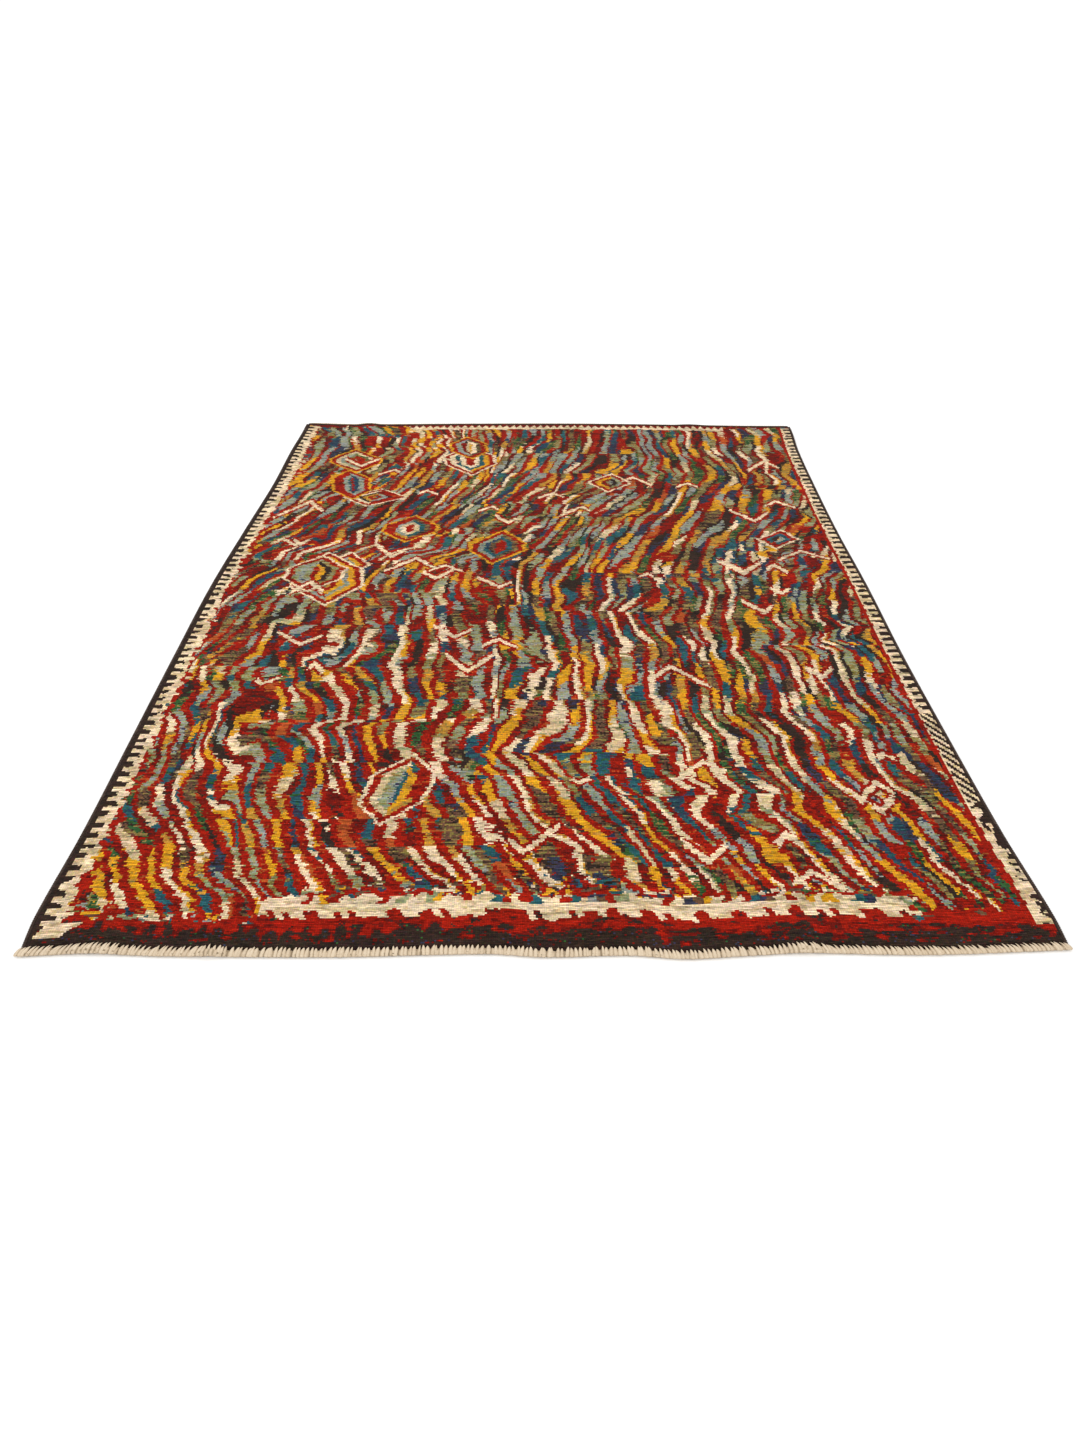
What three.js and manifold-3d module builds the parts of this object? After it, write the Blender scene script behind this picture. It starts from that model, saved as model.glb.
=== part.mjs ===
// Hand-knotted rug: one knotted body, two overcast sides and two plaited warp ends
// Millimetres, +Z up, the near end towards -Y, lying flat on z = 0

import * as THREE from "three";
import Module from "manifold-3d";

// Driving dimensions
const bodyThickness = 12; // ground weave of 3 and pile of 9
const rimHeight = 5; // height of the edge before the pile rounds off
const rimSlope = 7; // width over which the pile falls to its edge
const unevenness = 0.7; // soft rise and fall of the pile, made by the waves below
const softWaves = [
  { across: 140, along: 310 },
  { across: -430, along: 95 },
];
const pieceGap = 0.4; // clear space between neighbouring pieces
const sideWidth = 8.5; // overcast cord along each long side
const sideHeight = 7.5;
const plaitWidth = 17; // plait of warp ends along each short side
const plaitHeight = 9;
const plaitOverhang = { left: 11, right: 6 }; // how far a plait runs past the body's corners
const locksPerEnd = 140;
const lockWidth = 7.5;
const lockDepth = 3.2;
const lockReach = 5; // how far a lock's point lies over the pile
const lockLean = 9; // sideways lean of the locks at the two corners
const meanWidth = 1990;
const meanLength = 2940;
const acrossCells = 34; // about 60 a cell
const alongCells = 20; // about 150 a cell, closer beside the ends
const endDepths = [45, 105];
const crowding = 0.45; // share of a cell within which an even place gives way to a fixed one

// Outer line of the long sides, measured across from the middle, at places along the rug
const sideRows = [
  { along: -1490, left: -1003, right: 998 },
  { along: -1400, left: -1010, right: 1001 },
  { along: -1150, left: -1006, right: 989 },
  { along: -800, left: -1011, right: 984 },
  { along: -400, left: -1017, right: 982 },
  { along: 0, left: -1021, right: 988 },
  { along: 400, left: -1010, right: 987 },
  { along: 800, left: -996, right: 995 },
  { along: 1150, left: -996, right: 1007 },
  { along: 1350, left: -991, right: 1023 },
  { along: 1460, left: -984, right: 1027 },
];

// Edge of the pile at the near end, at places across the rug
const nearRows = [
  { across: -1003, edge: -1490 },
  { across: -870, edge: -1483 },
  { across: -740, edge: -1489 },
  { across: -600, edge: -1491 },
  { across: -390, edge: -1492 },
  { across: -110, edge: -1485 },
  { across: 0, edge: -1493 },
  { across: 160, edge: -1489 },
  { across: 265, edge: -1498 },
  { across: 370, edge: -1491 },
  { across: 490, edge: -1484 },
  { across: 730, edge: -1489 },
  { across: 998, edge: -1478 },
];

// Edge of the pile at the far end, which runs back towards the right
const farRows = [
  { across: -985, edge: 1463 },
  { across: -800, edge: 1448 },
  { across: -300, edge: 1455 },
  { across: 100, edge: 1456 },
  { across: 550, edge: 1440 },
  { across: 800, edge: 1430 },
  { across: 1020, edge: 1428 },
];

// Places where an end is pushed up from the floor
const puckers = [
  { end: "near", across: -865, height: 5, halfWidth: 80, reach: 130 },
  { end: "near", across: -643, height: 7, halfWidth: 42, reach: 95 },
  { end: "near", across: 492, height: 7, halfWidth: 62, reach: 115 },
  { end: "far", across: -725, height: 5, halfWidth: 60, reach: 90 },
  { end: "far", across: 610, height: 3, halfWidth: 80, reach: 80 },
];

// Section of an overcast side, in shares of its width outwards and of its height
const sideSection = [
  { out: 0, up: 0 },
  { out: 1, up: 0 },
  { out: 1, up: 0.62 },
  { out: 0.7, up: 1 },
  { out: 0.3, up: 1 },
  { out: 0, up: 0.62 },
];

// Section of a plaited end, in the same shares
const plaitSection = [
  { out: 0, up: 0 },
  { out: 0.82, up: 0 },
  { out: 1, up: 0.34 },
  { out: 0.8, up: 0.84 },
  { out: 0.36, up: 1 },
  { out: 0, up: 0.66 },
];
const plaitTipFullness = 0.55; // size of that section at the plait's two ends

// Rings of a lock: the root is sunk in the plait and the knee lies over the edge of the pile.
// Places are shares of the plait's section; lift and lean are shares of a pucker's height and
// of the lock's sideways lean
const lockRings = [
  { out: 0.62, up: 0.5, lift: 0.5, lean: -0.2, fullness: 0.8 },
  { out: 0.18, up: 0.92, lift: 1, lean: 0.35, fullness: 1 },
];

const mix = (from, to, share) => from + (to - from) * share;

// Value of one column between the rows, on a smooth curve through them
function columnAt(rows, place, column, at) {
  const last = rows.length - 1;
  let row = 0;
  while (row < last - 1 && rows[row + 1][place] < at) {
    row += 1;
  }
  const slopeAt = (index) => {
    const before = rows[Math.max(index - 1, 0)];
    const after = rows[Math.min(index + 1, last)];
    return (after[column] - before[column]) / (after[place] - before[place]);
  };
  const span = rows[row + 1][place] - rows[row][place];
  const share = THREE.MathUtils.clamp((at - rows[row][place]) / span, 0, 1);
  const ease = share * share * (3 - 2 * share);
  const leaving = slopeAt(row) * span * share * (1 - share) * (1 - share);
  const arriving = slopeAt(row + 1) * span * share * share * (1 - share);
  return mix(rows[row][column], rows[row + 1][column], ease) + leaving - arriving;
}

const leftAt = (along) => columnAt(sideRows, "along", "left", along) + sideWidth + pieceGap;
const rightAt = (along) => columnAt(sideRows, "along", "right", along) - sideWidth - pieceGap;
const endRows = { near: nearRows, far: farRows };
const outward = { near: -1, far: 1 };
const edgeAt = (end, across) => columnAt(endRows[end], "across", "edge", across);

// Height of the underside above the floor: each pucker is a cosine hump that dies away inwards
function liftAt(across, along) {
  let lift = 0;
  for (const pucker of puckers) {
    const sideways = Math.abs(across - pucker.across) / pucker.halfWidth;
    const inward = (edgeAt(pucker.end, across) - along) * outward[pucker.end] / pucker.reach;
    if (sideways < 1 && inward < 1) {
      const hump = 0.5 + 0.5 * Math.cos(Math.PI * sideways);
      const fade = 0.5 + 0.5 * Math.cos(Math.PI * Math.max(inward, 0));
      lift = Math.max(lift, pucker.height * hump * fade);
    }
  }
  return lift;
}

// Closed mesh from points and triangles
function solidFrom(points, triangles) {
  const geometry = new THREE.BufferGeometry();
  geometry.setAttribute("position", new THREE.Float32BufferAttribute(points.flat(), 3));
  geometry.setIndex(triangles.flat());
  return geometry;
}

// Closed mesh through rings of points, with a flat cap at each end or a single point as its tip
function sweptSolid(rings) {
  const points = [];
  const triangles = [];
  const starts = rings.map((ring) => {
    points.push(...ring);
    return points.length - ring.length;
  });
  for (let index = 0; index + 1 < rings.length; index += 1) {
    const sides = rings[index].length;
    const from = starts[index];
    const to = starts[index + 1];
    for (let side = 0; side < sides; side += 1) {
      const next = (side + 1) % sides;
      if (rings[index + 1].length === 1) {
        triangles.push([from + side, from + next, to]);
      } else {
        triangles.push([from + side, from + next, to + next]);
        triangles.push([from + side, to + next, to + side]);
      }
    }
  }
  const capped = (start, sides, turned) => {
    for (let side = 1; side + 1 < sides; side += 1) {
      const pair = turned ? [start + side + 1, start + side] : [start + side, start + side + 1];
      triangles.push([start, ...pair]);
    }
  };
  capped(starts[0], rings[0].length, true);
  capped(starts.at(-1), rings.at(-1).length, false);
  return solidFrom(points, triangles);
}

// Shares of a span: even steps between two rims, with extra places put in and crowded steps left out
function stations(span, cells, extra) {
  const fixed = [0, rimSlope / span, 1 - rimSlope / span, 1, ...extra];
  const step = 1 / cells;
  const clear = (share) => fixed.every((place) => Math.abs(place - share) > crowding * step);
  const even = Array.from({ length: cells - 1 }, (_, index) => (index + 1) * step).filter(clear);
  return [...fixed, ...even].sort((a, b) => a - b);
}

const puckerPlaces = puckers.flatMap((pucker) =>
  [-1, -0.5, 0, 0.5, 1].map((share) => pucker.across + share * pucker.halfWidth)
);
const acrossShares = stations(meanWidth, acrossCells, puckerPlaces.map((x) => 0.5 + x / meanWidth));
const endShares = endDepths.flatMap((depth) => [depth / meanLength, 1 - depth / meanLength]);
const alongShares = stations(meanLength, alongCells, endShares);

// Place on the floor of a share across and a share along, within the four uneven edges
function floorPlace(acrossShare, alongShare) {
  const plainAcross = mix(-0.5, 0.5, acrossShare) * meanWidth;
  const along = mix(edgeAt("near", plainAcross), edgeAt("far", plainAcross), alongShare);
  const across = mix(leftAt(along), rightAt(along), acrossShare);
  return [across, along];
}

// Knotted body: a grid of points on top and another below, joined round the rim
function knottedBody() {
  const points = [];
  const triangles = [];
  const columns = acrossShares.length;
  const rows = alongShares.length;
  const softRise = (across, along) => {
    const waves = softWaves.map((wave) => Math.sin(across / wave.across + along / wave.along));
    return (unevenness * (waves[0] + waves[1])) / waves.length;
  };
  for (const top of [false, true]) {
    alongShares.forEach((alongShare, row) => {
      acrossShares.forEach((acrossShare, column) => {
        const [across, along] = floorPlace(acrossShare, alongShare);
        const atRim = row === 0 || column === 0 || row === rows - 1 || column === columns - 1;
        const full = bodyThickness + softRise(across, along);
        const thickness = atRim ? rimHeight : full;
        points.push([across, along, liftAt(across, along) + (top ? thickness : 0)]);
      });
    });
  }
  const below = (column, row) => row * columns + column;
  const above = (column, row) => (rows + row) * columns + column;
  for (let row = 0; row + 1 < rows; row += 1) {
    for (let column = 0; column + 1 < columns; column += 1) {
      const face = (corner) => [
        corner(column, row), corner(column + 1, row), corner(column + 1, row + 1), corner(column, row + 1),
      ];
      const [a, b, c, d] = face(above);
      triangles.push([a, b, c], [a, c, d]);
      const [e, f, g, h] = face(below);
      triangles.push([e, g, f], [e, h, g]);
    }
  }
  const wall = (from, to) => {
    triangles.push([below(...from), below(...to), above(...to)]);
    triangles.push([below(...from), above(...to), above(...from)]);
  };
  for (let column = 0; column + 1 < columns; column += 1) {
    wall([column, 0], [column + 1, 0]);
    wall([column + 1, rows - 1], [column, rows - 1]);
  }
  for (let row = 0; row + 1 < rows; row += 1) {
    wall([0, row + 1], [0, row]);
    wall([columns - 1, row], [columns - 1, row + 1]);
  }
  return solidFrom(points, triangles);
}

// Overcast side: a low cord with a flat foot beside the body's rim, from one plait to the other
function overcastSide(side) {
  const rings = alongShares.map((share, index) => {
    const [rim, along] = floorPlace(side > 0 ? 1 : 0, share);
    const inset = { 0: 1, [alongShares.length - 1]: -1 }[index] ?? 0;
    const inner = rim + side * pieceGap;
    const ring = sideSection.map(({ out, up }) => [
      inner + side * out * sideWidth, along + inset, up * sideHeight,
    ]);
    return side > 0 ? ring.reverse() : ring;
  });
  return sweptSolid(rings);
}

const wasm = await Module();
wasm.setup();

function toManifold(geometry) {
  const vertProperties = new Float32Array(geometry.getAttribute("position").array);
  const triVerts = new Uint32Array(geometry.getIndex().array);
  return new wasm.Manifold(new wasm.Mesh({ numProp: 3, vertProperties, triVerts }));
}

function toGeometry(manifold) {
  const mesh = manifold.getMesh();
  const geometry = new THREE.BufferGeometry();
  geometry.setAttribute("position", new THREE.Float32BufferAttribute(mesh.vertProperties, 3));
  geometry.setIndex(Array.from(mesh.triVerts));
  return geometry;
}

// Place along the rug of a line of points, at a place across it
function alongLine(line, across) {
  const next = line.findIndex(([place]) => place > across);
  const [[acrossA, alongA], [acrossB, alongB]] = line.slice(next - 1, next + 1);
  return mix(alongA, alongB, (across - acrossA) / (acrossB - acrossA));
}

// Sideways lean of a lock: the two halves of an end lean to the middle, and more so beside a pucker
function leanAt(end, across) {
  let lean = (-across / (0.5 * meanWidth)) * lockLean;
  for (const pucker of puckers) {
    const share = (pucker.across - across) / pucker.halfWidth;
    if (pucker.end === end && Math.abs(share) < 1) {
      lean += 0.5 * share * lockLean;
    }
  }
  return THREE.MathUtils.clamp(lean, -lockLean, lockLean);
}

// Plaited end: a cord of the plaited ends with its foot on the floor, and the locks that run
// from it up over the edge of the pile
function plaitedEnd(end) {
  const side = outward[end];
  const rim = acrossShares.map((share) => floorPlace(share, end === "near" ? 0 : 1));
  const first = rim[0][0] - sideWidth - plaitOverhang.left;
  const last = rim.at(-1)[0] + sideWidth + plaitOverhang.right;
  const line = [[first, rim[0][1]], ...rim, [last, rim.at(-1)[1]]];
  const plaitRings = line.map(([across, along], index) => {
    const atTip = index === 0 || index === line.length - 1;
    const fullness = atTip ? plaitTipFullness : 1;
    const foot = along + side * pieceGap;
    const height = (plaitHeight + liftAt(across, along)) * fullness;
    const ring = plaitSection.map(({ out, up }) => [
      across, foot + side * out * plaitWidth * fullness, up * height,
    ]);
    return side < 0 ? ring.reverse() : ring;
  });
  let plait = toManifold(sweptSolid(plaitRings));
  const pitch = (last - first) / locksPerEnd;
  for (let index = 0; index < locksPerEnd; index += 1) {
    const across = first + (index + 0.5) * pitch;
    const foot = alongLine(line, across);
    const lift = liftAt(across, foot);
    const lean = leanAt(end, across);
    const rings = lockRings.map((row) => {
      const half = 0.5 * lockWidth * row.fullness;
      const depth = lockDepth * row.fullness;
      const middle = across + lean * row.lean;
      const along = foot + side * row.out * plaitWidth;
      const up = row.up * plaitHeight + row.lift * lift;
      const ring = [[middle - half, along, up], [middle + half, along, up], [middle, along, up + depth]];
      return side < 0 ? ring.reverse() : ring;
    });
    const tipAcross = THREE.MathUtils.clamp(across + lean, first, last);
    const tip = [[tipAcross, foot - side * lockReach, bodyThickness + lift]];
    plait = plait.add(toManifold(sweptSolid([...rings, tip])));
  }
  return toGeometry(plait);
}

const wool = new THREE.MeshStandardMaterial({ color: 0x9c2a1c, roughness: 0.92, metalness: 0 });
const sideWool = new THREE.MeshStandardMaterial({ color: 0x54463f, roughness: 0.9, metalness: 0 });
const warpWool = new THREE.MeshStandardMaterial({ color: 0xdccdac, roughness: 0.9, metalness: 0 });

function named(name, geometry, material) {
  const mesh = new THREE.Mesh(geometry, material);
  mesh.name = name;
  return mesh;
}

const rug = new THREE.Group();
rug.add(named("knotted_body", knottedBody(), wool));
rug.add(named("selvedge_left", overcastSide(-1), sideWool));
rug.add(named("selvedge_right", overcastSide(1), sideWool));
rug.add(named("plait_near", plaitedEnd("near"), warpWool));
rug.add(named("plait_far", plaitedEnd("far"), warpWool));

// Origin at the middle of the footprint, on the floor
const middle = new THREE.Box3().setFromObject(rug).getCenter(new THREE.Vector3());
rug.position.set(-middle.x, -middle.y, 0);

export default rug;
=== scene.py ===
import time
from math import radians
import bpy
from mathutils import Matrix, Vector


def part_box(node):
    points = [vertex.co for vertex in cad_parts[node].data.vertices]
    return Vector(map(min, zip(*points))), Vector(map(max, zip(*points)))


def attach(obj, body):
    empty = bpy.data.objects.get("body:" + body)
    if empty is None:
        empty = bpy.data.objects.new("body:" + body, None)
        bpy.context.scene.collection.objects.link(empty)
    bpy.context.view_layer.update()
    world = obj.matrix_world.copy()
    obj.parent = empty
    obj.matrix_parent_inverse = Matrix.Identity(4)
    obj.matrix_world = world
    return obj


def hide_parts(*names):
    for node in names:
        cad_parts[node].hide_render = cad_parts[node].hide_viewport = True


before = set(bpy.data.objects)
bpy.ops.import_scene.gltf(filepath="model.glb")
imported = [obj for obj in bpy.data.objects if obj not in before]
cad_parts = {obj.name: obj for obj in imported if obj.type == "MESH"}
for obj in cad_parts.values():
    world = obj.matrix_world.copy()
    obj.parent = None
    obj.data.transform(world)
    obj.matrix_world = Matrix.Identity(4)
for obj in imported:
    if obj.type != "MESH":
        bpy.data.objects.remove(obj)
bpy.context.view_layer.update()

from types import SimpleNamespace
import bpy
import numpy as np

started = time.time()


class Choices(dict):
    # a dictionary of what a user may change, read as piece.name
    __getattr__ = dict.__getitem__


def report(stage):
    # the stage reached, and the seconds since the start
    print(stage, round(time.time() - started, 1), "s")


def placed(name, data):
    # an object with the data, linked to the scene
    thing = bpy.data.objects.new(name, data)
    bpy.context.scene.collection.objects.link(thing)
    return thing


# the whole rug, in metres: width and length are the means between the uneven edges
rug = Choices(width=1.99, length=2.94, knotsAcross=456, knotsAlong=696, seed=21)

# outer line of the long sides at places along the rug: along, left, right
sideLine = np.array([
    (-1.49, -1.003, 0.998), (-1.4, -1.01, 1.001), (-1.15, -1.006, 0.989), (-0.8, -1.011, 0.984),
    (-0.4, -1.017, 0.982), (0.0, -1.021, 0.988), (0.4, -1.01, 0.987), (0.8, -0.996, 0.995),
    (1.15, -0.996, 1.007), (1.35, -0.991, 1.023), (1.46, -0.991, 1.027),
])
# edge of the pile at the two ends, at places across the rug
nearLine = np.array([
    (-1.003, -1.49), (-0.87, -1.483), (-0.74, -1.489), (-0.6, -1.491), (-0.39, -1.492),
    (-0.11, -1.485), (0.0, -1.493), (0.16, -1.489), (0.265, -1.498), (0.37, -1.491),
    (0.49, -1.484), (0.73, -1.489), (0.998, -1.478),
])
farLine = np.array([
    (-0.985, 1.463), (-0.8, 1.448), (-0.3, 1.455), (0.1, 1.456), (0.55, 1.44), (0.8, 1.43),
    (1.02, 1.428),
])
# places where an end is pushed up from the floor
puckers = [
    Choices(end="near", across=-0.865, height=0.005, halfWidth=0.08, reach=0.13),
    Choices(end="near", across=-0.643, height=0.007, halfWidth=0.042, reach=0.095),
    Choices(end="near", across=0.492, height=0.007, halfWidth=0.062, reach=0.115),
    Choices(end="far", across=-0.725, height=0.005, halfWidth=0.06, reach=0.09),
    Choices(end="far", across=0.61, height=0.003, halfWidth=0.08, reach=0.08),
]
# how the sides and the plaits lie beside the pile
fit = Choices(sideWidth=0.0085, sideHeight=0.0075, gap=0.0004, overhangLeft=0.011, overhangRight=0.006)


def lineAt(rows, column, at):
    # cubic Hermite curve through the rows: ease between two values plus each slope times its share
    place, value = rows[:, 0], rows[:, column]
    last = len(place) - 1
    before = np.maximum(np.arange(last + 1) - 1, 0)
    after = np.minimum(np.arange(last + 1) + 1, last)
    slope = (value[after] - value[before]) / (place[after] - place[before])
    row = np.clip(np.searchsorted(place, at, side="right") - 1, 0, last - 1)
    span = place[row + 1] - place[row]
    share = np.clip((at - place[row]) / span, 0, 1)
    ease = share ** 2 * (3 - 2 * share)
    leaving = slope[row] * span * share * (1 - share) ** 2
    arriving = slope[row + 1] * span * share ** 2 * (1 - share)
    return value[row] + (value[row + 1] - value[row]) * ease + leaving - arriving


def endAt(end, across):
    # the end's edge at a place across the rug
    return lineAt(nearLine if end == "near" else farLine, 1, across)


def floorPlace(acrossShare, alongShare):
    # place within the four uneven edges: a blend of the two ends, then a blend of the two sides
    plain = (acrossShare - 0.5) * rug.width
    along = endAt("near", plain) * (1 - alongShare) + endAt("far", plain) * alongShare
    inset = fit.sideWidth + fit.gap
    left = lineAt(sideLine, 1, along) + inset
    right = lineAt(sideLine, 2, along) - inset
    return left + (right - left) * acrossShare, along


def liftAt(across, along):
    # height of the underside: each pucker is a cosine hump across that dies away as a cosine inwards
    lift = np.zeros(np.broadcast(across, along).shape)
    for pucker in puckers:
        sideways = np.abs(across - pucker.across) / pucker.halfWidth
        outward = -1 if pucker.end == "near" else 1
        inward = (endAt(pucker.end, across) - along) * outward / pucker.reach
        hump = 0.5 + 0.5 * np.cos(np.pi * np.clip(sideways, 0, 1))
        fade = 0.5 + 0.5 * np.cos(np.pi * np.clip(inward, 0, 1))
        lift = np.maximum(lift, pucker.height * hump * fade)
    return lift


# the lines above are measured from their own middle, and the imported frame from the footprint's
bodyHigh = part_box("knotted_body")[1]
cornerAcross = floorPlace(np.array(1.0), np.array(1.0))[0]
cornerAlong = floorPlace(np.array(0.0), np.array(1.0))[1]
moveAcross = bodyHigh.x - float(cornerAcross)
moveAlong = bodyHigh.y - float(cornerAlong)
print("frame moved by", round(moveAcross, 5), round(moveAlong, 5))

view = Choices(
    across=-0.0135, along=-2.91, height=1.5156, downward=34.5735, lens=26.625, sensor=36,
)
lens = bpy.data.cameras.new("lens")
lens.lens = view.lens
lens.sensor_width = view.sensor
eye = placed("eye", lens)
eye.location = (view.across + moveAcross, view.along + moveAlong, view.height)
eye.rotation_euler = (radians(90 - view.downward), 0, 0)
bpy.context.scene.camera = eye
print("camera placed")


# the chart: one yarn number for each knot, counted from the near left corner
yarns = dict(
    cream="ECD2AD", ecru="D0B68B", yellow="DA9A1E", ochre="BC8836", red="9A1A08",
    darkRed="6E150C", teal="2A5A60", petrol="294252", slate="373649", mist="90958B",
    sage="93956B", olive="887640", green="31582F", heather="684B37", darkBrown="33261F",
    rust="AF5123",
)
yarnAt = {name: order for order, name in enumerate(yarns)}

# a noise is its spread, then its reach across and along in knots; pairs are near and far
field = Choices(
    period=(17.0, 15.6),  # knots across from one pair of bands to the next
    bandOffset=50,  # keeps the bands' numbers above zero
    fold=(7.5, 30, 66),  # most knots that a band runs sideways, between bends this many rows apart
    foldStray=(0.4, 26, 16),  # how far the bends lie off their grid
    foldStrayAcross=0.4,  # share of it across the rug
    lean=(27.0, 130, 72),  # the broad lean of the bands
    sway=(1.5, 13, 20),  # soft sway of the bands
    rowJog=(0.55, 1.4, 0.3),  # knots by which each row strays from the next
    slowJog=(0.42, 5.0, 1.8),  # and a few rows together
    stripes=((0.26, 0.25), (0.26, 0.31), (0.25, 0.12)),  # shares of a ground, a band and a ground
    widthStray=(0.04, 5, 7),  # how far those shares stray
    groundDrift=(0.02, 50, 40),  # and the grounds together
    driftSeed=9,
    segment=(16, 22),  # knots along before a band changes yarn
    cutSlant=1.1,  # slope of the cut from one yarn to the next
    cutStray=(0.16, 1.6, 0.9),  # and how ragged it is, in segments
    cutSpread=3,  # segments by which the cuts of two bands may differ
    cutMoves=9,  # knots of a restart's shift that move the cuts by a segment
    depthDrift=(0.22, 45, 50),  # how far the near and the far yarns mingle
    creamLine=0.62,  # share of a band's width that a cream line takes
    creamShare=(0.36, 0.06),
    creamRows=48,  # knots along before it may end
)
# places where the bands start afresh to one side: rows between them, widths and shifts in knots
restarts = Choices(
    rows=17, stray=9, fromColumn=-20, inside=40, width=(50, 150), shift=(4, 9), ramp=7, fade=60,
)
# nested lozenges and open chevrons among the bands; they lie within these shares of the rug
lozenges = Choices(
    count=13, halfWidth=(13, 27), steepness=(0.7, 1.3), flat=(0, 16), skew=0.35,
    within=((0.06, 0.08), (0.94, 0.94)), outline=2.5, ring=4.2, yellowEvery=3,
)
chevrons = Choices(
    count=46, halfWidth=(9, 24), steepness=(0.75, 1.5), lopsided=(0.3, 1.0),
    within=((0.05, 0.06), (0.95, 0.94)), outline=2.1, ground=5.0,
)
# one number for each kind of draw, and steps that keep the labels of patches apart
salt = dict(
    ground=23, bright=11, deep=37, slant=29, cut=61, creamCut=67, cream=5, ring=71, innerRing=73,
    dash=31, blockYarn=41, block=17, blockFoot=9, endTooth=13, leftTooth=19, rightTooth=21, rightBlock=25,
)
labelStep = Choices(cut=97, cream=53, ring=3, lozenge=31, lozenges=7000)


def smoothNoise(shape, acrossScale, alongScale, rng):
    # white noise times a Gaussian low pass in the frequency plane, scaled to a spread of one
    noise = np.fft.rfft2(rng.standard_normal(shape))
    alongFreq = np.fft.fftfreq(shape[0])[:, None]
    acrossFreq = np.fft.rfftfreq(shape[1])[None, :]
    kept = np.exp(-2 * np.pi ** 2 * ((alongFreq * alongScale) ** 2 + (acrossFreq * acrossScale) ** 2))
    smooth = np.fft.irfft2(noise * kept, shape)
    return (smooth - smooth.mean()) / smooth.std()


def wander(shape, size, rng):
    # smooth noise times its spread, the first of the three numbers of a size
    return size[0] * smoothNoise(shape, *size[1:], rng)


def folds(shape, size, rng):
    # sideways shift on a grid of uneven triangles: random at their corners and a plane between them,
    # z = z0 + u * (z1 - z0) + v * (z2 - z0)
    sideways, along, across = size
    margin, short = 1.5, 1.001
    rows, columns = int(shape[0] / along) + 4, int(shape[1] / across) + 4
    corner = rng.uniform(-sideways, sideways, (rows, columns))
    stray = [wander(shape, field.foldStray, rng) for axis in (0, 1)]
    row, column = np.mgrid[0:shape[0], 0:shape[1]].astype(float)
    v, u = margin + row / along + stray[0], margin + column / across + field.foldStrayAcross * stray[1]
    v, u = np.clip(v, 0, rows - short), np.clip(u, 0, columns - short)
    r, c = v.astype(int), u.astype(int)
    v, u = v - r, u - c
    first, beside = corner[r, c], corner[r, c + 1]
    above, opposite = corner[r + 1, c], corner[r + 1, c + 1]
    lower = first + u * (beside - first) + v * (above - first)
    upper = opposite + (1 - u) * (above - opposite) + (1 - v) * (beside - opposite)
    return np.where(u + v < 1, lower, upper)


def startsAfresh(row, column, rng):
    # a sideways shift that begins sharply at a row and dies away as exp(-rows / fade)
    moved = np.zeros(row.shape)
    for first in range(restarts.rows, row.shape[0], restarts.rows):
        first += rng.integers(-restarts.stray, restarts.stray + 1)
        left = rng.uniform(restarts.fromColumn, row.shape[1] - restarts.inside)
        right = left + rng.uniform(*restarts.width)
        shift = rng.uniform(*restarts.shift) * rng.choice([-1, 1])
        inside = np.clip((column - left) / restarts.ramp, 0, 1)
        inside *= np.clip((right - column) / restarts.ramp, 0, 1)
        moved += shift * inside * (row >= first) * np.exp(-(row - first) / restarts.fade)
    return moved


def scattered(number, draw):
    # an even draw from 0 to 1 for each number from zero up, by multiplying and folding its bits
    mask = np.uint64(0xFFFFFFFF)
    bits = np.asarray(number).astype(np.uint64) * np.uint64(2654435761)
    bits = (bits + np.uint64(salt[draw] * 40503)) & mask
    bits = ((bits ^ (bits >> np.uint64(15))) * np.uint64(2246822519)) & mask
    bits = ((bits ^ (bits >> np.uint64(13))) * np.uint64(3266489917)) & mask
    return (bits ^ (bits >> np.uint64(16))).astype(float) / 2.0 ** 32


def chosenYarn(label, depth, shares, draw):
    # each patch draws one yarn; the shares run from their near to their far value with depth 0..1
    near = np.array([row[1] for row in shares], float)
    far = np.array([row[-1] for row in shares], float)
    near, far = near / near.sum(), far / far.sum()
    drawn = scattered(label, draw)
    total = np.zeros(label.shape)
    picked = np.full(label.shape, yarnAt[shares[-1][0]])
    done = np.zeros(label.shape, bool)
    for order, (yarn, *_) in enumerate(shares):
        total = total + near[order] * (1 - depth) + far[order] * depth
        hit = (drawn < total) & ~done
        picked[hit] = yarnAt[yarn]
        done |= hit
    return picked


# shares of the yarns near and far: in a light band, in a dark band, in the lines between them
brightShares = [
    ("cream", 15, 2), ("ecru", 19, 10), ("yellow", 32, 21), ("ochre", 12, 13), ("red", 0, 6),
    ("teal", 12, 6), ("petrol", 1, 4), ("mist", 8, 19), ("sage", 4, 9), ("olive", 2, 10),
    ("heather", 3, 6), ("rust", 3, 2),
]
deepShares = [
    ("teal", 17, 5), ("petrol", 3, 5), ("slate", 4, 10), ("mist", 9, 17), ("sage", 6, 7), ("olive", 3, 7),
    ("green", 2, 17), ("heather", 19, 8), ("red", 0, 6), ("yellow", 12, 4), ("cream", 10, 0),
    ("darkRed", 2, 9), ("darkBrown", 2, 13),
]
groundShares = [
    ("red", 84, 30), ("darkRed", 12, 42), ("heather", 3, 3), ("slate", 1, 5), ("green", 0, 6),
    ("olive", 0, 1), ("darkBrown", 0, 13),
]
# and in the little dashes and blocks of the near end
dashShares = [
    ("red", 46), ("cream", 12), ("yellow", 8), ("teal", 8), ("sage", 7), ("heather", 10), ("slate", 4),
    ("mist", 3), ("olive", 2),
]
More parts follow.
